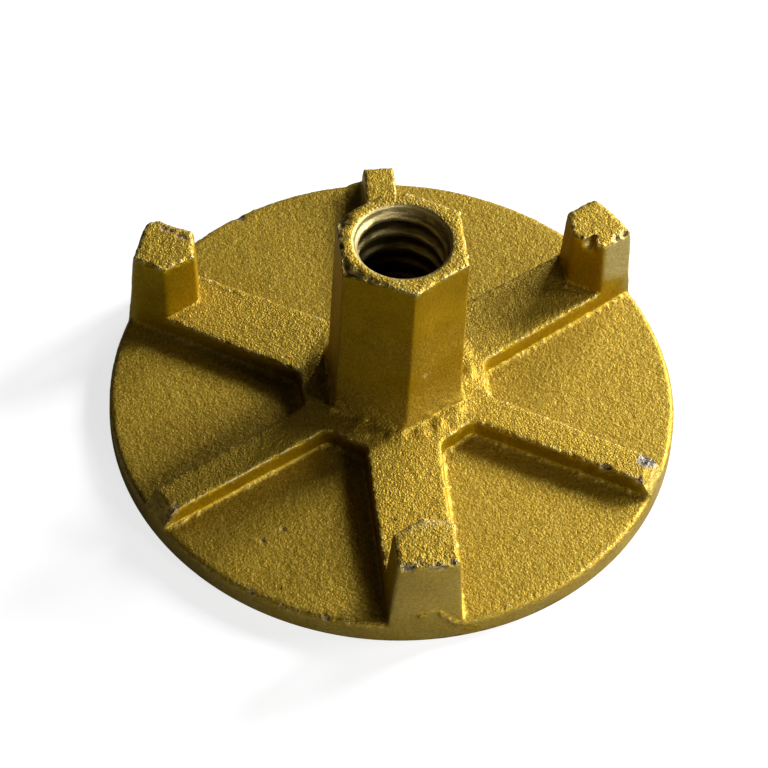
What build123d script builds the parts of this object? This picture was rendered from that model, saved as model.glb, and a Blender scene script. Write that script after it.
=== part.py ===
from build123d import *
from math import hypot, radians, tan
import os

# Formwork wing nut: one iron casting. A round bearing plate carries six ribs that run out from a hub.
# Every second rib is wide and ends in an upright lug, where a hammer or a bar turns the nut.
# A hexagonal boss stands on the hub: it takes a spanner, and its bore runs on the tie rod's thread.
# The origin is the centre of the underside, on the bore's axis, and +Z points up the boss.

# Driving dimensions, in millimetres and degrees
plate_diameter = 130.0
plate_thickness = 5.0
rim_draft = 4.0
rim_edge_chamfer = 0.7

hub_radius = 21.5
rib_height = 4.6
wide_rib_hub_width = 17.4
wide_rib_rim_width = 16.0
narrow_rib_hub_width = 9.2
narrow_rib_rim_width = 8.0
pattern_draft = 3.9
inner_corner_radius = 3.0
rib_edge_radius = 0.5
rib_foot_radius = 0.8

lug_count = 3
first_lug_azimuth = -90.0
lug_height = 20.4
lug_depth = 10.4
lug_prow = 4.2
lug_edge_radius = 0.8

spanner_size = 27.0
boss_draft = 1.0
boss_edge_radius = 0.5
boss_foot_radius = 1.2
overall_height = 55.0

rod_diameter = 20.0
thread_clearance = 0.4
mouth_chamfer = 0.6

# Sizes that follow from them
plate_radius = plate_diameter / 2
bore_radius = (rod_diameter + thread_clearance) / 2
rib_top = plate_thickness + rib_height
lug_top = plate_thickness + lug_height
lug_shoulder_radius = plate_radius - lug_depth
lug_prow_radius = lug_shoulder_radius - lug_prow
boss_height = overall_height - plate_thickness
boss_foot_size = spanner_size + 2 * boss_height * tan(radians(boss_draft))
boss_sides = 2 * lug_count
lug_pitch = 360 / lug_count
lug_azimuths = [first_lug_azimuth + lug_pitch * turn for turn in range(lug_count)]
plain_rib_azimuths = [azimuth + lug_pitch / 2 for azimuth in lug_azimuths]

# How edges are picked out: places along an edge, how near to level counts, and how near the rim
edge_start = 0
edge_middle = 0.5
edge_end = 1
level_tolerance = 0.01
rim_border = 3.0


def flank(radius, hub_width, rim_width):
    """Half the width of a rib's foot at a radius: its flanks close in steadily from hub to rim."""
    share = (radius - hub_radius) / (plate_radius - hub_radius)
    return (hub_width + share * (rim_width - hub_width)) / 2


def rib_plan(azimuth, hub_width, rim_width):
    """Plan of one rib at its foot, from the axis to well past the rim."""
    inner = flank(0, hub_width, rim_width)
    outer = flank(plate_diameter, hub_width, rim_width)
    corners = [(0, -inner), (plate_diameter, -outer), (plate_diameter, outer), (0, inner)]
    return Rot(0, 0, azimuth) * make_face(Polyline(*corners, close=True))


def star_plan():
    """Plan of the hub and its ribs, with the corners rounded where the ribs leave the hub."""
    star = Sketch() + Circle(hub_radius)
    for azimuth in lug_azimuths:
        star += rib_plan(azimuth, wide_rib_hub_width, wide_rib_rim_width)
    for azimuth in plain_rib_azimuths:
        star += rib_plan(azimuth, narrow_rib_hub_width, narrow_rib_rim_width)
    corners = star.vertices().filter_by(lambda corner: hypot(corner.X, corner.Y) < plate_radius)
    return fillet(corners, inner_corner_radius)


def lug_plan(azimuth):
    """Plan of one lug at its foot: the wide rib's own flanks, with a prow that points at the boss."""
    shoulder = flank(lug_shoulder_radius, wide_rib_hub_width, wide_rib_rim_width)
    outer = flank(plate_diameter, wide_rib_hub_width, wide_rib_rim_width)
    corners = [
        (lug_prow_radius, 0),
        (lug_shoulder_radius, -shoulder),
        (plate_diameter, -outer),
        (plate_diameter, outer),
        (lug_shoulder_radius, shoulder),
    ]
    return Rot(0, 0, azimuth) * make_face(Polyline(*corners, close=True))


def moulded(plan, height):
    """A plan raised from the plate with the pattern's draft, and ended flush with the sloping rim."""
    blank = extrude(Pos(0, 0, plate_thickness) * plan, height, taper=pattern_draft)
    return blank & extrude(Circle(plate_radius), overall_height, taper=rim_draft)


def level(solid, height):
    """The edges of a solid that lie level at a height."""
    def lies_level(edge):
        places = (edge_start, edge_middle, edge_end)
        return all(abs((edge @ place).Z - height) < level_tolerance for place in places)
    return solid.edges().filter_by(lies_level)


def rising(solid):
    """The edges of a solid that climb from one end to the other, such as the corners of a post."""
    def climbs(edge):
        return abs((edge @ edge_end).Z - (edge @ edge_start).Z) > level_tolerance
    return solid.edges().filter_by(climbs)


def between(edges, inner_radius, outer_radius):
    """Those edges whose middle lies between two distances from the axis."""
    def lies_between(edge):
        middle = edge @ edge_middle
        return inner_radius < hypot(middle.X, middle.Y) < outer_radius
    return edges.filter_by(lies_between)


def bearing_plate():
    """The round plate, with its rim sloping in towards the top."""
    return extrude(Circle(plate_radius), plate_thickness, taper=rim_draft)


def ribbed_hub():
    """Hub and six ribs in one raised star, with rounded upper edges."""
    star = moulded(star_plan(), rib_height)
    return fillet(level(star, rib_top), rib_edge_radius)


def lug(azimuth):
    """One upright lug on a wide rib, drafted on every side and rounded on every edge above the plate."""
    post = moulded(lug_plan(azimuth), lug_height)
    return fillet(rising(post) + level(post, lug_top), lug_edge_radius)


def boss():
    """The tall hexagonal boss: one of its corners points down each rib."""
    plan = RegularPolygon(boss_foot_size / 2, boss_sides, major_radius=False, rotation=first_lug_azimuth)
    post = extrude(Pos(0, 0, plate_thickness) * plan, boss_height, taper=boss_draft)
    return fillet(rising(post) + level(post, overall_height), boss_edge_radius)


def nut_casting():
    """The whole casting: rim and rib feet are finished before the lugs and the boss stand on them."""
    casting = bearing_plate() + ribbed_hub()
    rim_edges = between(level(casting, plate_thickness), plate_radius - rim_border, plate_radius)
    casting = chamfer(rim_edges, rim_edge_chamfer)
    rib_feet = between(level(casting, plate_thickness), hub_radius, plate_radius - rim_border)
    casting = fillet(rib_feet, rib_foot_radius)
    for azimuth in lug_azimuths:
        casting += lug(azimuth)
    casting += boss()
    boss_foot = between(level(casting, rib_top), bore_radius, boss_foot_size)
    casting = fillet(boss_foot, boss_foot_radius)
    casting -= Cylinder(bore_radius, overall_height, align=(Align.CENTER, Align.CENTER, Align.MIN))
    mouths = level(casting, 0) + level(casting, overall_height)
    return chamfer(between(mouths, 0, bore_radius + level_tolerance), mouth_chamfer)


os.makedirs("parts", exist_ok=True)
export_step(nut_casting(), "parts/nut_casting.step")
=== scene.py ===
import math

import bmesh
import bpy
import numpy as np
from mathutils import Matrix, Vector


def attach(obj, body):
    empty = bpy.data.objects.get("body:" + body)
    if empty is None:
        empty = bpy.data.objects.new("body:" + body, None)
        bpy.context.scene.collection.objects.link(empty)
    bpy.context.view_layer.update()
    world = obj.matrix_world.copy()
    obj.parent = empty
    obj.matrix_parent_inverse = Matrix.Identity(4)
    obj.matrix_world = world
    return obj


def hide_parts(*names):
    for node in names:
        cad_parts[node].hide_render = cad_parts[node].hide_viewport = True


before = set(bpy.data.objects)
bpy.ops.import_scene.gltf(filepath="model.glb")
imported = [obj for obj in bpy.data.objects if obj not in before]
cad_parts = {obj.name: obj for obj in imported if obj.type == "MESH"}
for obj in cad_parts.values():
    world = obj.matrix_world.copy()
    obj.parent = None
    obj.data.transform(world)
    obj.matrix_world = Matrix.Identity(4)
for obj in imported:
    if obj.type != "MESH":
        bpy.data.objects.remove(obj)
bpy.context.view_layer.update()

# ---------------------------------------------------------------------------------------------
# The raw casting: plate, ribs, lugs and boss in one piece of iron, poured in a two-part sand mould.
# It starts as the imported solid, and is worked on in millimetres until its skin is done.
# ---------------------------------------------------------------------------------------------
MM = 0.001
WELD_DISTANCE = 1e-6


def raw_casting(node, name):
    """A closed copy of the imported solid, in millimetres, with no split edges."""
    shell = bmesh.new()
    shell.from_mesh(node.data)
    bmesh.ops.remove_doubles(shell, verts=shell.verts, dist=WELD_DISTANCE)
    shell.transform(Matrix.Scale(1 / MM, 4))
    mesh = bpy.data.meshes.new(name)
    shell.to_mesh(mesh)
    shell.free()
    for leftover in [a.name for a in mesh.attributes if not a.is_required and a.name != "sharp_face"]:
        mesh.attributes.remove(mesh.attributes[leftover])
    piece = bpy.data.objects.new(name, mesh)
    bpy.context.scene.collection.objects.link(piece)
    return piece


casting = raw_casting(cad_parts["nut_casting"], "nut_casting_skin")

# ---------------------------------------------------------------------------------------------
# Flash: iron that ran into cracks of the sand and froze as crumbly beads, knocked off roughly and
# painted over. One bead crosses the front lug's outer face, and one lies at each side lug's foot.
# ---------------------------------------------------------------------------------------------
FRONT_LUG, RIGHT_LUG, LEFT_LUG = 270, 30, 150
BEAD_SEED = 40
BEAD_SPACING = 0.8
BEAD_GAPS = 0.12
BEAD_SCATTER = 0.35
BEAD_SIZES = (0.6, 1.3)


def place_on(azimuth, outward, sideways, height):
    """A point on the rib or lug at an azimuth: outward from the axis, sideways anticlockwise, and up."""
    turn = math.radians(azimuth)
    return np.array([
        outward * math.cos(turn) - sideways * math.sin(turn),
        outward * math.sin(turn) + sideways * math.cos(turn),
        height,
    ])


def lay_flash(piece, line, width, seed):
    """Grains of iron along a line, each sunk about half into the casting."""
    rng = np.random.default_rng(seed)
    line = np.array(line)
    run = np.concatenate([[0], np.cumsum(np.linalg.norm(np.diff(line, axis=0), axis=1))])
    along = np.arange(0, run[-1], width * BEAD_SPACING)
    grains = np.stack([np.interp(along, run, line[:, axis]) for axis in range(3)], axis=1)
    shell = bmesh.new()
    shell.from_mesh(piece.data)
    for grain in grains:
        if rng.uniform() < BEAD_GAPS:
            continue
        place = grain + rng.normal(0, width * BEAD_SCATTER, 3)
        turned = Matrix.Translation(place) @ Matrix.Rotation(rng.uniform(0, math.tau), 4, "Z")
        radius = width * rng.uniform(*BEAD_SIZES)
        bmesh.ops.create_icosphere(shell, subdivisions=1, radius=radius, matrix=turned)
    shell.to_mesh(piece.data)
    shell.free()


# azimuth, the bead's width, and its points: outward, sideways and up
FLASH_LINES = [
    (FRONT_LUG, 0.55, [(64.3, -1.2, 8.4), (64.3, 1.0, 9.6), (64.3, 2.6, 9.4),
                       (64.3, 4.5, 7.1), (64.3, 7.4, 3.6), (64.3, 11.0, 2.0)]),
    (LEFT_LUG, 0.36, [(53.0, -7.4, 9.5), (50.0, -7.0, 9.5), (46.2, -6.4, 9.5),
                      (42.8, -6.9, 9.5), (40.0, -6.6, 9.5)]),
    (RIGHT_LUG, 0.34, [(49.6, -1.2, 9.55), (51.0, -3.0, 9.55), (52.4, -5.4, 9.55), (53.8, -7.4, 9.55)]),
]
for count, (azimuth, width, points) in enumerate(FLASH_LINES):
    line = [place_on(azimuth, *point) for point in points]
    lay_flash(casting, line, width, BEAD_SEED + count)

# ---------------------------------------------------------------------------------------------
# The skin that the mould left: one even net of small squares over the whole casting, fine enough to
# carry the sand's grain. It also tells where the edges and the feet are, where a sand mould crumbles.
# ---------------------------------------------------------------------------------------------
SKIN_GRID = 0.38
PLATE_TOP = 5.0
RIM_RADIUS = 65.0
RIM_DRAFT = 4.0
RIM_BAND = 0.9
RIM_EDGE_DROP = 1.0
BORE_EDGE = (10.5, 11.0)
LEVEL_ENOUGH = (0.25, 0.65)
UNDERNEATH = (0.3, 0.8)
BENT_ENOUGH = (0.02, 0.08)
BEND_PASSES = 3
ABOVE_UNDERSIDE = (2.6, 3.8)
TOP_EDGES = (0.12, 0.35)
LOWER_EDGE_SHARE = 0.08
FOOT_HEIGHTS = (6.2, 7.5)
BOSS_FOOT_RADII = (17.5, 21.5)
BOSS_FOOT_HEIGHTS = (11, 31)


def skinned(piece, grid):
    """Rebuild the piece as one even skin of small squares."""
    remesh = piece.modifiers.new("skin", "REMESH")
    remesh.mode = "VOXEL"
    remesh.voxel_size = grid
    evaluated = piece.evaluated_get(bpy.context.evaluated_depsgraph_get())
    mesh = bpy.data.meshes.new_from_object(evaluated)
    piece.modifiers.clear()
    piece.data = mesh


def table_of(items, field, width, kind=float):
    """One row per item of a mesh, with one of its fields."""
    table = np.empty(len(items) * width, kind)
    items.foreach_get(field, table)
    return table.reshape(-1, width)


def neighbour_mean(values, ends):
    """Each corner's value averaged over the corners that it shares an edge with."""
    here, there = np.concatenate([ends, ends[:, ::-1]]).T
    columns = values.reshape(len(values), -1)
    count = np.bincount(here, minlength=len(values))
    total = [np.bincount(here, column[there], minlength=len(values)) / count for column in columns.T]
    return np.stack(total, axis=1).reshape(values.shape)


def ramp(values, low, high):
    """0 below low, 1 above high, and a smooth step between."""
    share = np.clip((values - low) / (high - low), 0, 1)
    return share * share * (3 - 2 * share)


def fade(values, low, high):
    """1 below low, 0 above high, and a smooth step between."""
    return ramp(-values, -high, -low)


skinned(casting, SKIN_GRID)
places = table_of(casting.data.vertices, "co", 3)
normals = table_of(casting.data.vertex_normals, "vector", 3)
ends = table_of(casting.data.edges, "vertices", 2, np.int32)
from_axis = np.hypot(places[:, 0], places[:, 1])
height = places[:, 2].copy()

# The net leaves small steps on the round rim, so its side is set true again.
rim_side = (from_axis > RIM_RADIUS - RIM_BAND) & (height < PLATE_TOP - RIM_EDGE_DROP)
true_radius = RIM_RADIUS - height * math.tan(math.radians(RIM_DRAFT))
places[:, :2] *= np.where(rim_side, true_radius / from_axis, 1)[:, None]

# Shares from 0 to 1 that say where each place lies, the bends worked out from the net's own curvature.
facing_up = ramp(normals[:, 2], *LEVEL_ENOUGH)
facing_down = ramp(-normals[:, 2], *UNDERNEATH)
in_bore = fade(from_axis, *BORE_EDGE)
bend = np.einsum("ij,ij->i", places - neighbour_mean(places, ends), normals) / SKIN_GRID
for _ in range(BEND_PASSES):
    bend = 0.5 * bend + 0.5 * neighbour_mean(bend, ends)
sharp = ramp(bend, *BENT_ENOUGH) * (1 - in_bore) * ramp(height, *ABOVE_UNDERSIDE)
sharp *= LOWER_EDGE_SHARE + (1 - LOWER_EDGE_SHARE) * ramp(normals[:, 2], *TOP_EDGES)
foot = ramp(-bend, *BENT_ENOUGH) * (1 - in_bore) * fade(height, *FOOT_HEIGHTS)
boss_foot = fade(from_axis, *BOSS_FOOT_RADII) * fade(height, *BOSS_FOOT_HEIGHTS) * (1 - in_bore)

# ---------------------------------------------------------------------------------------------
# A worn pattern and a shaken mould left the casting a little out of true: the rear rib leans to the
# right and rises at the rim, and the boss's front corner stands over to the right.
# ---------------------------------------------------------------------------------------------
REAR_RIB = 90
REAR_RIB_LEAN = 3.0
REAR_RIB_LIFT = 1.3
LEAN_RUN = (18, 62)
LEAN_HALF_WIDTH = (6.5, 10.5)
LEAN_HEIGHTS = (5.0, 6.4)
LIFT_HEIGHTS = (6.4, 9.4)
BOSS_TWIST = 1.1
TWIST_HALF_WIDTH = 5.5
TWIST_START = (9, 14)
TWIST_END = (17.2, 18.5)
TWIST_HEIGHTS = (10, 14)


def on_rib(azimuth):
    """Outward and sideways distances of every place, seen from the rib or lug at an azimuth."""
    turn = math.radians(azimuth)
    outward = places[:, 0] * math.cos(turn) + places[:, 1] * math.sin(turn)
    sideways = places[:, 1] * math.cos(turn) - places[:, 0] * math.sin(turn)
    return outward, sideways


outward, sideways = on_rib(REAR_RIB)
lean = ramp(outward, *LEAN_RUN) * fade(np.abs(sideways), *LEAN_HALF_WIDTH) * ramp(height, *LEAN_HEIGHTS)
places[:, 0] += REAR_RIB_LEAN * lean
places[:, 2] += REAR_RIB_LIFT * lean * ramp(height, *LIFT_HEIGHTS)

outward, sideways = on_rib(FRONT_LUG)
twist = np.exp(-(sideways / TWIST_HALF_WIDTH) ** 2) * ramp(outward, *TWIST_START)
twist *= fade(outward, *TWIST_END) * ramp(height, *TWIST_HEIGHTS)
places[:, 0] += BOSS_TWIST * twist * (1 - in_bore)

# ---------------------------------------------------------------------------------------------
# Broken corners: blows took off top corners of the boss and its left edge, and the outer ends of the
# two front plain ribs. Each break is a rough slope.
# ---------------------------------------------------------------------------------------------
LEFT_RIB, RIGHT_RIB = 210, 330
BOSS_TOP = 55.0
RIB_TOP = 9.6
# azimuth, distance from the axis, top, outward tilt of the slope, roughness, reach down and sideways
BROKEN_BACK = [
    (LEFT_RIB + 14, 11.7, BOSS_TOP, 0.36, 0.40, 6.0),
    (LEFT_RIB, 13.5, BOSS_TOP, 0.62, 0.40, 6.0),
    (180, 12.2, BOSS_TOP, 0.30, 0.30, 4.0),
    (LEFT_LUG, 12.2, BOSS_TOP, 0.38, 0.40, 5.5),
    (LEFT_LUG, 13.5, BOSS_TOP, 0.72, 0.40, 4.5),
    (REAR_RIB, 13.2, BOSS_TOP, 0.75, 0.70, 5.0),
    (LEFT_RIB, 61.4, RIB_TOP, 0.80, 0.40, 6.0),
    (RIGHT_RIB, 61.4, RIB_TOP, 0.80, 0.30, 6.0),
]
BREAK_WIDTH = 1.6
BREAK_INWARD = 4
BREAK_SHOWS = (0.05, 0.5)
BREAK_MARK = 1.4
SEED_STEP = 17.31
CELL_CODES = (73856093, 19349663, 83492791)
CODE_SCRAMBLER = 1274126177
POSITIVE_BITS = 0x7FFFFFFF
HIGHEST_CODE = 0xFFFF


def lumps(size, seed):
    """Smooth random lumps of a given size, from -1 to 1 at every place, the same on every run."""
    cell = places / size + seed * SEED_STEP
    base = np.floor(cell).astype(np.int64)
    part = cell - base
    part = part * part * part * (part * (part * 6 - 15) + 10)
    total = np.zeros(len(places))
    for corner in np.ndindex(2, 2, 2):
        node = base + np.array(corner)
        code = np.bitwise_xor.reduce(node * CELL_CODES, axis=1)
        code = ((code ^ (code >> 13)) * CODE_SCRAMBLER) & POSITIVE_BITS
        code = (code ^ (code >> 16)) & HIGHEST_CODE
        weight = np.prod(np.where(np.array(corner) == 1, part, 1 - part), axis=1)
        total += weight * (2 * code / HIGHEST_CODE - 1)
    return total


def shift(azimuth, outward_by, sideways_by=0.0):
    """Move every place outward and sideways, as seen from the rib or lug at an azimuth."""
    turn = math.radians(azimuth)
    places[:, 0] += outward_by * math.cos(turn) - sideways_by * math.sin(turn)
    places[:, 1] += outward_by * math.sin(turn) + sideways_by * math.cos(turn)


broken = np.zeros(len(places))
for azimuth, edge, top, tilt, roughness, reach in BROKEN_BACK:
    outward, sideways = on_rib(azimuth)
    lift = math.sqrt(1 - tilt * tilt)
    proud = (outward - edge) * tilt + (height - top) * lift
    proud += roughness * (0.5 * lumps(1.5, 21) + 0.35 * lumps(0.9, 22))
    near = (np.abs(sideways) < reach * BREAK_WIDTH) & (outward > edge - BREAK_INWARD)
    cut = np.where(near & (height > top - reach) & (proud > 0), proud, 0)
    places[:, 2] -= cut * lift
    shift(azimuth, -cut * tilt)
    broken = np.maximum(broken, ramp(cut, *BREAK_SHOWS) * min(1, BREAK_MARK * roughness))

# ---------------------------------------------------------------------------------------------
# The notch in the right lug: a wedge broken out of the top of its inner face, on the clockwise half of
# its prow. FACET_TURN points straight into the lug there, by shares outward and sideways.
# ---------------------------------------------------------------------------------------------
LUG_TOP = 25.4
FACET_START = 50.4
FACET_TURN = (0.885, 0.465)
PATTERN_DRAFT = 3.9
NOTCH_MIDDLE = 4.7
NOTCH_HALF_WIDTH = 1.7
NOTCH_DEPTH = 2.8
NOTCH_HEIGHTS = (LUG_TOP - 3.4, LUG_TOP - 0.8)
NOTCH_LOWEST = 18
LUG_INNER_LIMIT = 45
LUG_HALF_WIDTH = 9
FACET_LIMIT = -1.5
NOTCH_SHOWS = (0.15, 0.6)
outward, sideways = on_rib(RIGHT_LUG)
facet_run = (outward - FACET_START) * FACET_TURN[1] - sideways * FACET_TURN[0]
facet_depth = (outward - FACET_START) * FACET_TURN[0] + sideways * FACET_TURN[1]
facet_depth -= (height - PLATE_TOP) * math.tan(math.radians(PATTERN_DRAFT))
across = 1 - np.abs(facet_run - NOTCH_MIDDLE) / NOTCH_HALF_WIDTH
wanted = NOTCH_DEPTH * np.clip(across, 0, 1) * ramp(height, *NOTCH_HEIGHTS)
in_notch = (height > NOTCH_LOWEST) & (outward > LUG_INNER_LIMIT) & (np.abs(sideways) < LUG_HALF_WIDTH)
in_notch &= (wanted > facet_depth) & (facet_depth > FACET_LIMIT)
cut = np.where(in_notch, wanted - facet_depth, 0)
shift(RIGHT_LUG, cut * FACET_TURN[0], cut * FACET_TURN[1])
notched = ramp(cut, *NOTCH_SHOWS)

# ---------------------------------------------------------------------------------------------
# The lugs as they came out: each one's inner end stands proud, leans in or is blunter on one side,
# the left lug also spreads outward to its top, and the side lugs' outer corners are rounder.
# ---------------------------------------------------------------------------------------------
# azimuth, inner end proud by, leans in by, blunter on one side by
LONGER_LUGS = [
    (FRONT_LUG, 0.2, 1.0, 2.0),
    (RIGHT_LUG, 0.0, 1.2, 0.0),
    (LEFT_LUG, 1.1, 0.5, -0.6),
]
LUG_FOOT_HEIGHTS = (8.8, 11.0)
LUG_RISE = (8.8, 25.0)
BLUNT_SIDE = (0, 5.5)
LUG_INNER_END = (53.5, 60.0)
LUG_INNER_HALF_WIDTH = 8.5
for azimuth, proud_by, lean_by, blunt_by in LONGER_LUGS:
    outward, sideways = on_rib(azimuth)
    grown = proud_by * ramp(height, *LUG_FOOT_HEIGHTS)
    grown += (lean_by + blunt_by * ramp(sideways, *BLUNT_SIDE)) * ramp(height, *LUG_RISE)
    grown *= fade(outward, *LUG_INNER_END) * (outward > LUG_INNER_LIMIT)
    shift(azimuth, -grown * (np.abs(sideways) < LUG_INNER_HALF_WIDTH))

LEFT_LUG_SPREAD = 1.9
SPREAD_HEIGHTS = (10.0, 25.0)
SPREAD_RUN = (55.0, 63.0)
SPREAD_SIDE = (-5.0, 6.0)
outward, sideways = on_rib(LEFT_LUG)
grown = LEFT_LUG_SPREAD * ramp(height, *SPREAD_HEIGHTS) * ramp(outward, *SPREAD_RUN)
grown *= fade(sideways, *SPREAD_SIDE)
shift(LEFT_LUG, grown * (np.abs(sideways) < LUG_HALF_WIDTH))

# azimuth, the corner's place outward and sideways, which way the round faces, and its depth
ROUNDED_CORNERS = [
    (LEFT_LUG, 64.4, -6.6, 0.75, -0.66, 1.3),
    (LEFT_LUG, 63.2, 6.6, 0.80, 0.60, 0.7),
    (RIGHT_LUG, 63.2, 6.6, 0.75, 0.66, 1.1),
    (RIGHT_LUG, 63.2, -6.6, 0.80, -0.60, 0.8),
]
ROUNDER_AT_TOP = 0.9
ROUNDER_HEIGHTS = (21.0, LUG_TOP)
ROUND_SHARE = 0.85
ROUND_START = (9.0, 24)
ROUND_LOWEST = 10
LUG_OUTER_HALF = 56
for azimuth, corner_out, corner_side, lean_out, lean_side, depth in ROUNDED_CORNERS:
    outward, sideways = on_rib(azimuth)
    proud = (outward - corner_out) * lean_out + (sideways - corner_side) * lean_side + depth
    proud += ramp(height, *ROUNDER_HEIGHTS) * ROUNDER_AT_TOP - ROUNDER_AT_TOP
    near = (height > ROUND_LOWEST) & (outward > LUG_OUTER_HALF) & (sideways * corner_side > 0)
    cut = np.where(near & (proud > 0), proud, 0) * ROUND_SHARE * ramp(height, *ROUND_START)
    shift(azimuth, -cut * lean_out, -cut * lean_side)

# ---------------------------------------------------------------------------------------------
# Small chips, knocked out of edges that stand proud, and a few pits in the plate. Each shows bare
# iron, rust or pale dust.
# ---------------------------------------------------------------------------------------------
# place, radius, depth and what shows in the chip
CHIPS = [
    (place_on(RIGHT_LUG, 58.4, -6.3, 25.2), 1.2, 0.6, "dust_and_painted_light"),
    (place_on(RIGHT_LUG, 61.0, -6.2, 25.2), 1.3, 0.6, "dust_and_painted_light"),
    (place_on(RIGHT_RIB, 60.6, 2.6, 9.4), 2.3, 0.35, "bare"),
    (place_on(RIGHT_RIB, 61.0, -3.4, 9.2), 1.1, 0.4, "rust"),
    (place_on(RIGHT_RIB, 53.0, -3.8, 9.5), 1.3, 0.5, "rust"),
    (place_on(LEFT_RIB, 61.0, 2.9, 9.3), 1.2, 0.4, "rust"),
    (np.array([-20.9, -61.1, PLATE_TOP]), 1.0, 0.5, "rust"),
    (np.array([-30.3, -57.1, PLATE_TOP]), 0.9, 0.3, "rust"),
    (np.array([-36.4, -53.0, PLATE_TOP]), 0.8, 0.25, "rust"),
    (np.array([-31.7, 55.6, PLATE_TOP]), 1.5, 0.5, "rust"),
    (np.array([-28.2, -37.4, PLATE_TOP]), 0.55, 0.3, "rust"),
    (np.array([-32.7, -40.2, PLATE_TOP]), 0.5, 0.3, "rust"),
    (np.array([2.6, -18.4, 10.4]), 0.8, 0.6, "rust"),
    (place_on(LEFT_LUG, 60.6, -4.6, 25.3), 0.9, 0.35, "rust"),
    (place_on(LEFT_LUG, 59.0, -4.7, 25.3), 0.8, 0.35, "rust"),
    (place_on(LEFT_LUG, 56.4, -4.3, 25.3), 0.9, 0.4, "rust"),
    (place_on(LEFT_LUG, 54.9, -4.1, 25.3), 0.7, 0.3, "rust"),
    (place_on(FRONT_LUG, 13.6, 4.8, 26.0), 0.7, 0.3, "dust_and_painted_light"),
]
CHIP_RAGGEDNESS = 0.35
CHIP_LUMPS = 0.8
CHIP_WALL = 0.45
STAIN_RING = (0.7, 1.35)
stains = {name: np.zeros(len(places)) for name in ("bare", "dust_and_painted_light", "rust")}
for centre, radius, depth, stain in CHIPS:
    ragged = CHIP_RAGGEDNESS * radius * lumps(radius * CHIP_LUMPS, 31)
    gap = np.linalg.norm(places - centre, axis=1) + ragged
    places -= normals * (fade(gap, radius * CHIP_WALL, radius) * depth)[:, None]
    ring = fade(gap, radius * STAIN_RING[0], radius * STAIN_RING[1])
    stains[stain] = np.maximum(stains[stain], ring)

# ---------------------------------------------------------------------------------------------
# The sand's grain: tops and floor are granular, the drafted sides came away smoother, and edges and
# feet crumbled with the mould. The boss is rough on its lower part, with a swollen lip at its foot.
# ---------------------------------------------------------------------------------------------
GRAIN = 0.10
SMOOTH_GRAIN = 0.012
UNDERSIDE_GRAIN = 0.55
UNDERSIDE_RELIEF = 0.4
BOSS_RADIUS = 19
BOSS_ROUGH_BELOW = (34, 52)
BOSS_SIDE_GRAIN = 0.30
BOSS_SIDE_PATCHES = 0.25
LUG_TOPS = (20, 24)
RIB_TOPS = (7.5, 9.0)
RIB_TOP_COARSENESS = 0.75
HUB_RADII = (20, 30)
HUB_COARSENESS = 0.6
EDGE_CRUMBS = 0.34
FOOT_CRUMBS = 0.30
FOOT_CRUMB_SHOWS = (-0.1, 0.8)
LIP_HEIGHT = 10.4
LIP_HALF_HEIGHT = 2.2
LIP_RADII = (17.5, 20.5)
LIP_SWELL = 0.45
LIP_LUMPS = 0.5
WARP = 0.05
BROKEN_GRAIN = 0.9
patchy = lumps(5.0, 6)
sand = np.maximum(facing_up, UNDERSIDE_GRAIN * facing_down)
sand = np.maximum(sand, boss_foot * ramp(patchy + 1.9 * boss_foot, 0, 1))
boss_side = (from_axis < BOSS_RADIUS) * fade(height, *BOSS_ROUGH_BELOW)
sand = np.maximum(sand, boss_side * (BOSS_SIDE_GRAIN + BOSS_SIDE_PATCHES * patchy))
sand = np.maximum(sand, BROKEN_GRAIN * broken) * (1 - in_bore)

coarse = np.maximum(ramp(height, *LUG_TOPS), RIB_TOP_COARSENESS * ramp(height, *RIB_TOPS)) * facing_up
coarse = np.maximum(np.maximum(coarse, broken), boss_foot)
coarse = np.clip(np.maximum(coarse, HUB_COARSENESS * fade(from_axis, *HUB_RADII)), 0, 1)

crumbs = lumps(1.15, 11)
fine_crumbs = lumps(0.7, 12)
grain = 0.5 * lumps(0.62, 1)
grain += (0.3 + 0.7 * coarse) * (0.6 * lumps(0.95, 2) + 0.25 * lumps(2.6, 3))
rise = (SMOOTH_GRAIN + GRAIN * sand * (1 - (1 - UNDERSIDE_RELIEF) * facing_down)) * grain
rise += sharp * EDGE_CRUMBS * (0.7 * crumbs + 0.4 * fine_crumbs - 0.35)
rise += foot * FOOT_CRUMBS * ramp(crumbs + 0.6 * fine_crumbs, *FOOT_CRUMB_SHOWS)
lip = np.exp(-((height - LIP_HEIGHT) / LIP_HALF_HEIGHT) ** 2) * fade(from_axis, *LIP_RADII) * (1 - in_bore)
rise += lip * (LIP_SWELL + LIP_LUMPS * lumps(2.2, 13))
rise += WARP * lumps(14.0, 9) * (1 - facing_down)
places += normals * (rise * (1 - in_bore))[:, None]

# ---------------------------------------------------------------------------------------------
# The tie rod's thread: coarse, rounded, right-handed turns, cast with the bore and never cut. It runs
# out at both mouths, and its crests stand in from the bore's wall.
# ---------------------------------------------------------------------------------------------
THREAD_PITCH = 4.8
THREAD_DEPTH = 0.85
THREAD_UNEVENNESS = 0.15
THREAD_GRAIN = 0.10
THREAD_FLANK = (0.11, 0.25)
THREAD_STARTS = (0.6, 2.5)
THREAD_ENDS = (BOSS_TOP - 2.4, BOSS_TOP - 0.8)
ROOT_RELIEF = 0.1
BORE_RADIUS = 10.2
WALL_DEPTH = 0.3
MOUTH_DEPTHS = (0.6, 0.5)
wall = (from_axis < BORE_RADIUS + WALL_DEPTH) & (height > MOUTH_DEPTHS[0])
wall &= height < BOSS_TOP - MOUTH_DEPTHS[1]
turns = height / THREAD_PITCH - np.arctan2(places[:, 1], places[:, 0]) / math.tau
ridge = fade(np.abs(turns % 1 - 0.5), *THREAD_FLANK)
ridge *= ramp(height, *THREAD_STARTS) * fade(height, *THREAD_ENDS)
uneven = 1 + THREAD_UNEVENNESS * lumps(2.5, 8)
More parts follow.
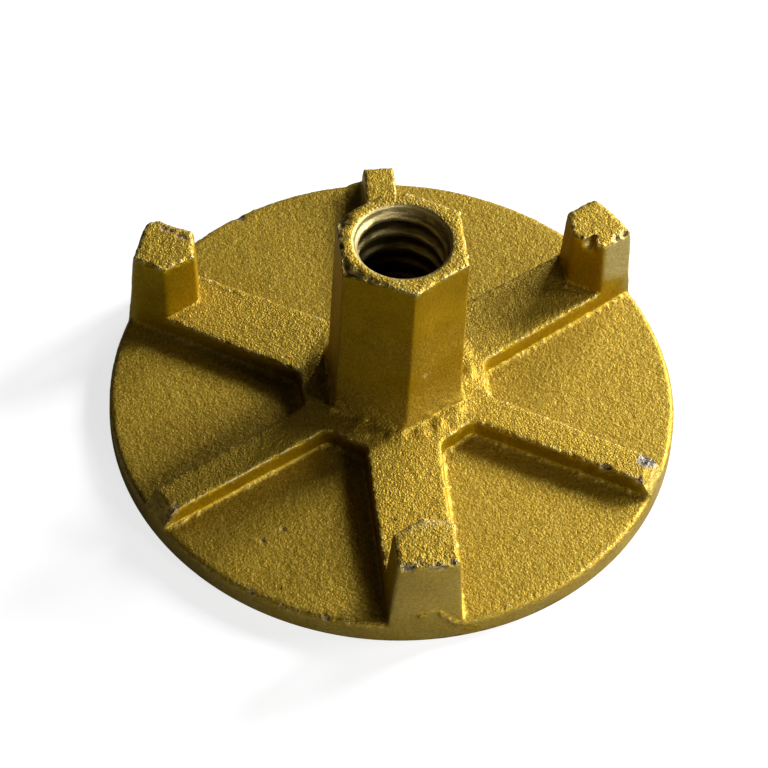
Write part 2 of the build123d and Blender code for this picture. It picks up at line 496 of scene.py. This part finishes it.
inward = np.where(wall, THREAD_DEPTH * ridge * uneven - ROOT_RELIEF, 0)
inward *= 1 + THREAD_GRAIN * lumps(1.0, 14)
places[:, :2] *= (1 - inward / np.maximum(from_axis, 1))[:, None]

# ---------------------------------------------------------------------------------------------
# The casting's limits: no grain and no flash stands past the rim, the boss's top or the flat
# underside, so the nut keeps its size and lies flat on what it bears on.
# ---------------------------------------------------------------------------------------------
RIM_LIMIT = RIM_RADIUS - 0.03
TOP_LIMIT = BOSS_TOP - 0.03
UNDERSIDE_LIMIT = 0.01
spread = np.hypot(places[:, 0], places[:, 1])
places[:, :2] *= np.minimum(1, RIM_LIMIT / np.maximum(spread, 1))[:, None]
places[:, 2] = np.clip(places[:, 2], UNDERSIDE_LIMIT, TOP_LIMIT)

# ---------------------------------------------------------------------------------------------
# Wear, dirt and painted light, each as a share from 0 to 1. The front lug's outer top edge is knocked
# bare, outer faces are painted paler as painted light, the right lug's right flank carries a painted
# reflection, and breaks show dust and rust. Edges, feet and the thread's first crests are worn bright, and
# painted shade darkens the bore further down and in the thread's roots.
# ---------------------------------------------------------------------------------------------
KNOCKED_OUT, KNOCKED_HALF_WIDTH, KNOCKED_DEPTH = 62.8, 0.9, 0.45
KNOCKED_HEIGHTS = (23.6, 24.4)
KNOCKED_HALF_LENGTH = 6.6
KNOCKED_RAGGED = (-0.15, 0.3)
outward, sideways = on_rib(FRONT_LUG)
knocked = np.exp(-((outward - KNOCKED_OUT) / KNOCKED_HALF_WIDTH) ** 2) * ramp(height, *KNOCKED_HEIGHTS)
knocked *= ramp(lumps(2.4, 74) + 0.45 * fine_crumbs, *KNOCKED_RAGGED)
knocked *= np.abs(sideways) < KNOCKED_HALF_LENGTH
places -= normals * (KNOCKED_DEPTH * knocked)[:, None]
stains["bare"] = np.maximum(stains["bare"], knocked)

DUST_BAND_OUT, DUST_BAND_SLANT, DUST_BAND_HALF_WIDTH = 52.4, 0.25, 1.3
DUST_BAND_SHARE = 0.45
DUST_BAND_LENGTH = 8
band_gap = outward - DUST_BAND_OUT + DUST_BAND_SLANT * sideways + 0.8 * lumps(2.5, 51)
band = DUST_BAND_SHARE * np.exp(-(band_gap / DUST_BAND_HALF_WIDTH) ** 2) * facing_up
band *= (height > LUG_TOPS[0]) * (np.abs(sideways) < DUST_BAND_LENGTH)
stains["dust_and_painted_light"] = np.maximum(stains["dust_and_painted_light"], band)

# Painted reflection: the right lug's right flank is painted pale in the dust colour, in place of the white
# floor's reflection.
PAINTED_REFLECTION_SHARE = 0.8
PAINTED_REFLECTION_LOWEST = 9.8
PAINTED_REFLECTION_FACE = (-6.2, -4.8)
PAINTED_REFLECTION_RUN = (54, 56)
PAINTED_REFLECTION_SLANT = 0.35
PAINTED_REFLECTION_RISE = (32.4, 34.2)
outward, sideways = on_rib(RIGHT_LUG)
painted_reflection_side = fade(sideways, *PAINTED_REFLECTION_FACE) * ramp(outward, *PAINTED_REFLECTION_RUN)
painted_reflection_side *= ramp(height + PAINTED_REFLECTION_SLANT * outward, *PAINTED_REFLECTION_RISE)
painted_reflection_side *= PAINTED_REFLECTION_SHARE * (height > PAINTED_REFLECTION_LOWEST) * (1 - facing_up)
stains["dust_and_painted_light"] = np.maximum(stains["dust_and_painted_light"], painted_reflection_side)

# Painted light: the upright outer faces of the rim and lugs are painted paler with the dust colour, in
# place of light from the front.
OUTER_FACES = (62.0, 62.8)
UPRIGHT_ENOUGH = (0.2, 0.5)
OUTER_PAINTED_LIGHT, OUTER_PAINTED_LIGHT_PATCHES = 0.34, 0.14
outer_face = ramp(from_axis, *OUTER_FACES) * fade(np.abs(normals[:, 2]), *UPRIGHT_ENOUGH)
stains["dust_and_painted_light"] = np.maximum(stains["dust_and_painted_light"], outer_face * (OUTER_PAINTED_LIGHT + OUTER_PAINTED_LIGHT_PATCHES * lumps(6.0, 81)))

BREAK_DUST, BREAK_RUST = 0.85, 0.5
BREAK_RUST_PATCHES = (-0.2, 0.5)
broken_boss = broken * (from_axis < HUB_RADII[0])
rusty = BREAK_RUST * broken_boss * ramp(lumps(2.2, 61), *BREAK_RUST_PATCHES)
stains["dust_and_painted_light"] = np.maximum(stains["dust_and_painted_light"], BREAK_DUST * broken_boss)
stains["rust"] = np.maximum(stains["rust"], rusty)

EDGE_WEAR, FOOT_WEAR, NOTCH_WEAR = 0.85, 0.4, 0.6
EDGE_WEAR_SHOWS = (-0.4, 0.6)
FOOT_WEAR_SHOWS = (-0.1, 0.6)
CREST_WEAR_SHOWS = (-0.9, 0.2)
CREST_RIDGE = (0.75, 1.0)
# Painted shade: the bore is painted darker further down, and its thread's roots darker still, where shade
# falls.
PAINTED_SHADE_DEPTHS = (7, 17)
ROOT_PAINTED_SHADE = 0.75
ROOT_PAINTED_SHADE_DEPTHS = (1.8, 3.2)
MOUTH_COAT = (-1, 0.2)
bore_depth = BOSS_TOP - height
painted_bore_shade = ramp(bore_depth, *PAINTED_SHADE_DEPTHS)
crest = wall * ramp(ridge, *CREST_RIDGE) * (1 - painted_bore_shade)
worn = EDGE_WEAR * sharp * ramp(crumbs + 0.5 * fine_crumbs, *EDGE_WEAR_SHOWS)
worn = np.maximum(worn, FOOT_WEAR * foot * ramp(crumbs + 0.6 * fine_crumbs, *FOOT_WEAR_SHOWS))
worn = np.maximum(worn, NOTCH_WEAR * notched)
worn = np.maximum(worn, crest * ramp(lumps(3.0, 91), *CREST_WEAR_SHOWS))
painted_bore_shade = np.maximum(painted_bore_shade, ROOT_PAINTED_SHADE * wall * ramp(bore_depth, *ROOT_PAINTED_SHADE_DEPTHS) * (1 - crest))
shares = {
    "sand": sand,
    "coarse": coarse * sand,
    "worn": np.clip(worn, 0, 1),
    "bare": stains["bare"],
    "rust": stains["rust"],
    "dust_and_painted_light": stains["dust_and_painted_light"],
    "bore": in_bore * ramp(bore_depth, *MOUTH_COAT),
    # painted shade in the bore
    "painted_bore_shade": in_bore * painted_bore_shade,
}

# ---------------------------------------------------------------------------------------------
# The finished skin goes back onto the casting with its shares, is thinned to a light enough mesh,
# and returns to metres.
# ---------------------------------------------------------------------------------------------
TRIANGLE_LIMIT = 190000
casting.data.vertices.foreach_set("co", places.ravel())
for name, values in shares.items():
    layer = casting.data.attributes.new(name, "FLOAT", "POINT")
    layer.data.foreach_set("value", values.astype(np.float32))
casting.data.update()

triangles = 2 * len(casting.data.polygons)
if triangles > TRIANGLE_LIMIT:
    thin = casting.modifiers.new("thin", "DECIMATE")
    thin.ratio = TRIANGLE_LIMIT / triangles
    evaluated = casting.evaluated_get(bpy.context.evaluated_depsgraph_get())
    thinned = bpy.data.meshes.new_from_object(evaluated)
    casting.modifiers.clear()
    casting.data = thinned
casting.data.transform(Matrix.Scale(MM, 4))
casting.data.polygons.foreach_set("use_smooth", np.ones(len(casting.data.polygons), bool))

# ---------------------------------------------------------------------------------------------
# Gold paint, sprayed on the as-cast iron: smooth mustard on the drafted sides, paler and speckled on
# the granular tops, rubbed bright on crumbly edges and chipped to grey or brown iron. It hardly
# reached the bore, where a thin coat lies on grey-brown iron, and painted shade darkens the bore further
# down. The pale dust colour also carries painted light on the outer faces and a painted reflection.
# ---------------------------------------------------------------------------------------------
SMOOTH_PAINT = [(0.38, (0.27, 0.165, 0.0012, 1)), (0.62, (0.47, 0.30, 0.003, 1))]
SANDY_PAINT = [
    (0.34, (0.27, 0.16, 0.004, 1)),
    (0.50, (0.36, 0.235, 0.015, 1)),
    (0.66, (0.45, 0.32, 0.045, 1)),
]
# The pale dust colour is also laid on as painted light on the outer faces and as a painted reflection on
# the right lug's right flank.
PALE_DUST_AND_PAINTED_LIGHT = [(0.35, (0.35, 0.27, 0.075, 1)), (0.65, (0.51, 0.41, 0.14, 1))]
BROWN_RUST = [(0.42, (0.12, 0.065, 0.018, 1)), (0.62, (0.42, 0.29, 0.09, 1))]
BARE_IRON = [(0.40, (0.06, 0.054, 0.045, 1)), (0.60, (0.25, 0.23, 0.185, 1))]
RUBBED_BRIGHT = (0.55, 0.44, 0.16, 1)
BORE_COAT = (0.46, 0.38, 0.18, 1)
# Painted shade: the near-black colour laid into the bore further down and in the thread's roots.
BORE_PAINTED_SHADE = (0.045, 0.03, 0.008, 1)
FINE_SPECKS, MEDIUM_SPECKS, BLOTCHES = 2300, 1350, 75
PAINT_METAL, SANDY_METAL, WORN_METAL = 0.94, 0.72, 0.75
DUST_AND_PAINTED_LIGHT_METAL, RUST_METAL, BARE_METAL = 0.45, 0.15, 0.85
PAINT_ROUGHNESS, SANDY_ROUGHNESS, WORN_ROUGHNESS = 0.50, 0.55, 0.48
BLOTCH_ROUGHNESS = 0.12
RELIEF_DISTANCE = 0.00026
PAINT_RELIEF, SANDY_RELIEF, COARSE_RELIEF = 0.38, 0.95, 1.7
paint = bpy.data.materials.new("gold_paint_on_iron")
paint.use_nodes = True
coat = paint.node_tree
shader = coat.nodes["Principled BSDF"]
iron_place = coat.nodes.new("ShaderNodeTexCoord")


def socket(target, value):
    """Set a socket to a number or colour, or wire it to another node's output."""
    if isinstance(value, bpy.types.NodeSocket):
        coat.links.new(value, target)
    else:
        target.default_value = value


def share(name):
    """One of the casting's own shares."""
    reader = coat.nodes.new("ShaderNodeAttribute")
    reader.attribute_name = name
    return reader.outputs["Fac"]


def maths(operation, first, second):
    """A number worked out from two others."""
    worker = coat.nodes.new("ShaderNodeMath")
    worker.operation = operation
    socket(worker.inputs[0], first)
    socket(worker.inputs[1], second)
    return worker.outputs[0]


def speckle(scale, detail, roughness):
    """Random specks fixed to the iron, by size: scale counts specks to the metre."""
    noise = coat.nodes.new("ShaderNodeTexNoise")
    coat.links.new(iron_place.outputs["Object"], noise.inputs["Vector"])
    noise.inputs["Scale"].default_value = scale
    noise.inputs["Detail"].default_value = detail
    noise.inputs["Roughness"].default_value = roughness
    return noise.outputs["Fac"]


def graded(amount, stops):
    """A colour that runs through stops as an amount goes from 0 to 1."""
    grade = coat.nodes.new("ShaderNodeValToRGB")
    grade.color_ramp.elements[0].position, grade.color_ramp.elements[0].color = stops[0]
    grade.color_ramp.elements[1].position, grade.color_ramp.elements[1].color = stops[-1]
    for position, colour in stops[1:-1]:
        grade.color_ramp.elements.new(position).color = colour
    coat.links.new(amount, grade.inputs["Fac"])
    return grade.outputs["Color"]


def laid_over(under, over, amount):
    """One colour laid over another by an amount."""
    mixer = coat.nodes.new("ShaderNodeMix")
    mixer.data_type = "RGBA"
    socket(mixer.inputs["Factor"], amount)
    socket(mixer.inputs[6], under)
    socket(mixer.inputs[7], over)
    return mixer.outputs[2]


def blended(first, second, amount):
    """One number blended into another by an amount."""
    mixer = coat.nodes.new("ShaderNodeMix")
    socket(mixer.inputs["Factor"], amount)
    socket(mixer.inputs["A"], first)
    socket(mixer.inputs["B"], second)
    return mixer.outputs["Result"]


fine = speckle(FINE_SPECKS, 1.5, 0.55)
medium = speckle(MEDIUM_SPECKS, 1.0, 0.5)
blotch = speckle(BLOTCHES, 3.0, 0.55)
grains = maths("ADD", maths("MULTIPLY", fine, 0.6), maths("MULTIPLY", medium, 0.4))
mottle = maths("ADD", maths("MULTIPLY", blotch, 0.45), maths("MULTIPLY", grains, 0.55))

colour = laid_over(graded(mottle, SMOOTH_PAINT), graded(grains, SANDY_PAINT), share("sand"))
# Painted shade: the bore's coat is darkened towards its depths and in the thread's roots.
bore_coat_and_shade = laid_over(BORE_COAT, BORE_PAINTED_SHADE, share("painted_bore_shade"))
colour = laid_over(colour, bore_coat_and_shade, maths("MULTIPLY", share("bore"), 0.9))
# Dust, with painted light and a painted reflection in the same pale colour.
colour = laid_over(colour, graded(grains, PALE_DUST_AND_PAINTED_LIGHT), share("dust_and_painted_light"))
colour = laid_over(colour, RUBBED_BRIGHT, maths("MULTIPLY", share("worn"), 0.75))
colour = laid_over(colour, graded(grains, BROWN_RUST), share("rust"))
colour = laid_over(colour, graded(grains, BARE_IRON), share("bare"))
coat.links.new(colour, shader.inputs["Base Color"])

metal = blended(blended(PAINT_METAL, SANDY_METAL, share("sand")), WORN_METAL, share("worn"))
metal = blended(blended(metal, DUST_AND_PAINTED_LIGHT_METAL, share("dust_and_painted_light")), RUST_METAL, share("rust"))
coat.links.new(blended(metal, BARE_METAL, share("bare")), shader.inputs["Metallic"])

dullness = blended(blended(PAINT_ROUGHNESS, SANDY_ROUGHNESS, share("sand")), WORN_ROUGHNESS, share("worn"))
patches = maths("MULTIPLY", maths("SUBTRACT", blotch, 0.5), BLOTCH_ROUGHNESS)
coat.links.new(maths("ADD", dullness, patches), shader.inputs["Roughness"])

relief = coat.nodes.new("ShaderNodeBump")
relief.inputs["Strength"].default_value = 1.0
relief.inputs["Distance"].default_value = RELIEF_DISTANCE
rough_share = maths("MAXIMUM", share("sand"), share("worn"))
relief_depth = blended(blended(PAINT_RELIEF, SANDY_RELIEF, rough_share), COARSE_RELIEF, share("coarse"))
coat.links.new(maths("MULTIPLY", grains, relief_depth), relief.inputs["Height"])
coat.links.new(relief.outputs["Normal"], shader.inputs["Normal"])
casting.data.materials.clear()
casting.data.materials.append(paint)

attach(casting, "root")
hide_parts("nut_casting")

# ---------------------------------------------------------------------------------------------
# The studio floor: a plain pale sheet under the nut. It is white to the camera, keeps a soft shadow
# and throws a little light back up at the rim.
# ---------------------------------------------------------------------------------------------
FLOOR_HALF = 0.17
FLOOR_GREY = (0.36, 0.36, 0.36, 1)
WHITE = (1, 1, 1, 1)
FLOOR_WHITE = 0.75
BACKDROP_WHITE = 1.0
BACKDROP_FILL = 0.005
WHITE_IN_MIRRORS = 0.02
floor_mesh = bpy.data.meshes.new("floor")
floor_signs = [(-1, -1), (1, -1), (1, 1), (-1, 1)]
floor_corners = [(across * FLOOR_HALF, along * FLOOR_HALF, 0) for across, along in floor_signs]
floor_mesh.from_pydata(floor_corners, [], [(0, 1, 2, 3)])
floor = bpy.data.objects.new("floor", floor_mesh)
bpy.context.scene.collection.objects.link(floor)


def white_to_the_camera(tree, other_rays, camera_rays, target):
    """Make a strength white to the camera, a small part of it in mirrors, and less for other rays."""
    ray = tree.nodes.new("ShaderNodeLightPath")
    seen = tree.nodes.new("ShaderNodeMath")
    seen.operation = "MULTIPLY_ADD"
    tree.links.new(ray.outputs["Is Camera Ray"], seen.inputs[0])
    seen.inputs[1].default_value = camera_rays - other_rays
    seen.inputs[2].default_value = other_rays
    mirrored = tree.nodes.new("ShaderNodeMath")
    mirrored.operation = "MAXIMUM"
    tree.links.new(ray.outputs["Is Glossy Ray"], mirrored.inputs[0])
    tree.links.new(ray.outputs["Is Transmission Ray"], mirrored.inputs[1])
    total = tree.nodes.new("ShaderNodeMath")
    total.operation = "MULTIPLY_ADD"
    tree.links.new(mirrored.outputs[0], total.inputs[0])
    total.inputs[1].default_value = WHITE_IN_MIRRORS
    tree.links.new(seen.outputs[0], total.inputs[2])
    tree.links.new(total.outputs[0], target)


sheet = bpy.data.materials.new("floor_white")
sheet.use_nodes = True
sheet_shader = sheet.node_tree.nodes["Principled BSDF"]
sheet_shader.inputs["Base Color"].default_value = FLOOR_GREY
sheet_shader.inputs["Roughness"].default_value = 1.0
sheet_shader.inputs["Emission Color"].default_value = WHITE
white_to_the_camera(sheet.node_tree, 0.0, FLOOR_WHITE, sheet_shader.inputs["Emission Strength"])
floor.data.materials.append(sheet)

world = bpy.data.worlds.new("studio")
bpy.context.scene.world = world
world.use_nodes = True
backdrop = world.node_tree.nodes["Background"]
backdrop.inputs["Color"].default_value = WHITE
white_to_the_camera(world.node_tree, BACKDROP_FILL, BACKDROP_WHITE, backdrop.inputs["Strength"])

# ---------------------------------------------------------------------------------------------
# The lamps: softboxes in a low arc at the camera's right, strongest behind the nut, as a window's light
# comes over a table. The near and left sides of every rib fall into shade.
# ---------------------------------------------------------------------------------------------
CAMERA_AZIMUTH = -9.1
LAMP_DISTANCE = 2.5
AIM_HEIGHT = 0.02
# name, azimuth from the camera's right towards the back, elevation, width and height, watts
SOFTBOXES = [
    ("softbox_behind_right", 38, 27, 0.68, 0.62, 88.0),
    ("softbox_back", 61, 27, 0.65, 0.65, 24.0),
    ("softbox_right", 8, 17, 0.65, 0.50, 48.0),
    ("softbox_right_front", -24, 33, 0.40, 0.40, 12.0),
    ("softbox_low_front", -58, 9, 0.80, 0.50, 27.0),
]
for name, azimuth, elevation, width, tall, power in SOFTBOXES:
    swing = math.radians(azimuth + CAMERA_AZIMUTH)
    rise = math.radians(elevation)
    lamp = bpy.data.lights.new(name, "AREA")
    lamp.shape = "RECTANGLE"
    lamp.size = width
    lamp.size_y = tall
    lamp.energy = power
    holder = bpy.data.objects.new(name, lamp)
    toward = Vector((math.cos(swing) * math.cos(rise), math.sin(swing) * math.cos(rise), math.sin(rise)))
    holder.location = toward * LAMP_DISTANCE + Vector((0, 0, AIM_HEIGHT))
    holder.rotation_euler = toward.to_track_quat("Z", "Y").to_euler()
    bpy.context.scene.collection.objects.link(holder)

# ---------------------------------------------------------------------------------------------
# The camera: half a metre from the nut, in front and well above it, with a fairly long lens. It
# stands a little to the left of the front lug, and is tilted slightly.
# ---------------------------------------------------------------------------------------------
CAMERA_ELEVATION = 51.83
CAMERA_ROLL = 3.78
CAMERA_DISTANCE = 0.5091
CAMERA_LENS = 103.1
CAMERA_SHIFT = (-0.0105, 0.0220)
camera_data = bpy.data.cameras.new("camera")
camera_data.sensor_width = 36
camera_data.lens = CAMERA_LENS
camera_data.shift_x, camera_data.shift_y = CAMERA_SHIFT
camera_data.clip_start = 0.01
camera_data.clip_end = 50
camera = bpy.data.objects.new("camera", camera_data)
bpy.context.scene.collection.objects.link(camera)
swing = math.radians(CAMERA_AZIMUTH)
rise = math.radians(CAMERA_ELEVATION)
roll = math.radians(CAMERA_ROLL)
back = Vector((math.sin(swing) * math.cos(rise), -math.cos(swing) * math.cos(rise), math.sin(rise)))
right = Vector((math.cos(swing), math.sin(swing), 0))
upward = back.cross(right)
across = right * math.cos(roll) + upward * math.sin(roll)
above = upward * math.cos(roll) - right * math.sin(roll)
turned = Matrix((across, above, back)).transposed().to_4x4()
camera.matrix_world = Matrix.Translation(back * CAMERA_DISTANCE) @ turned
bpy.context.scene.camera = camera
bpy.context.scene.view_settings.view_transform = "Standard"
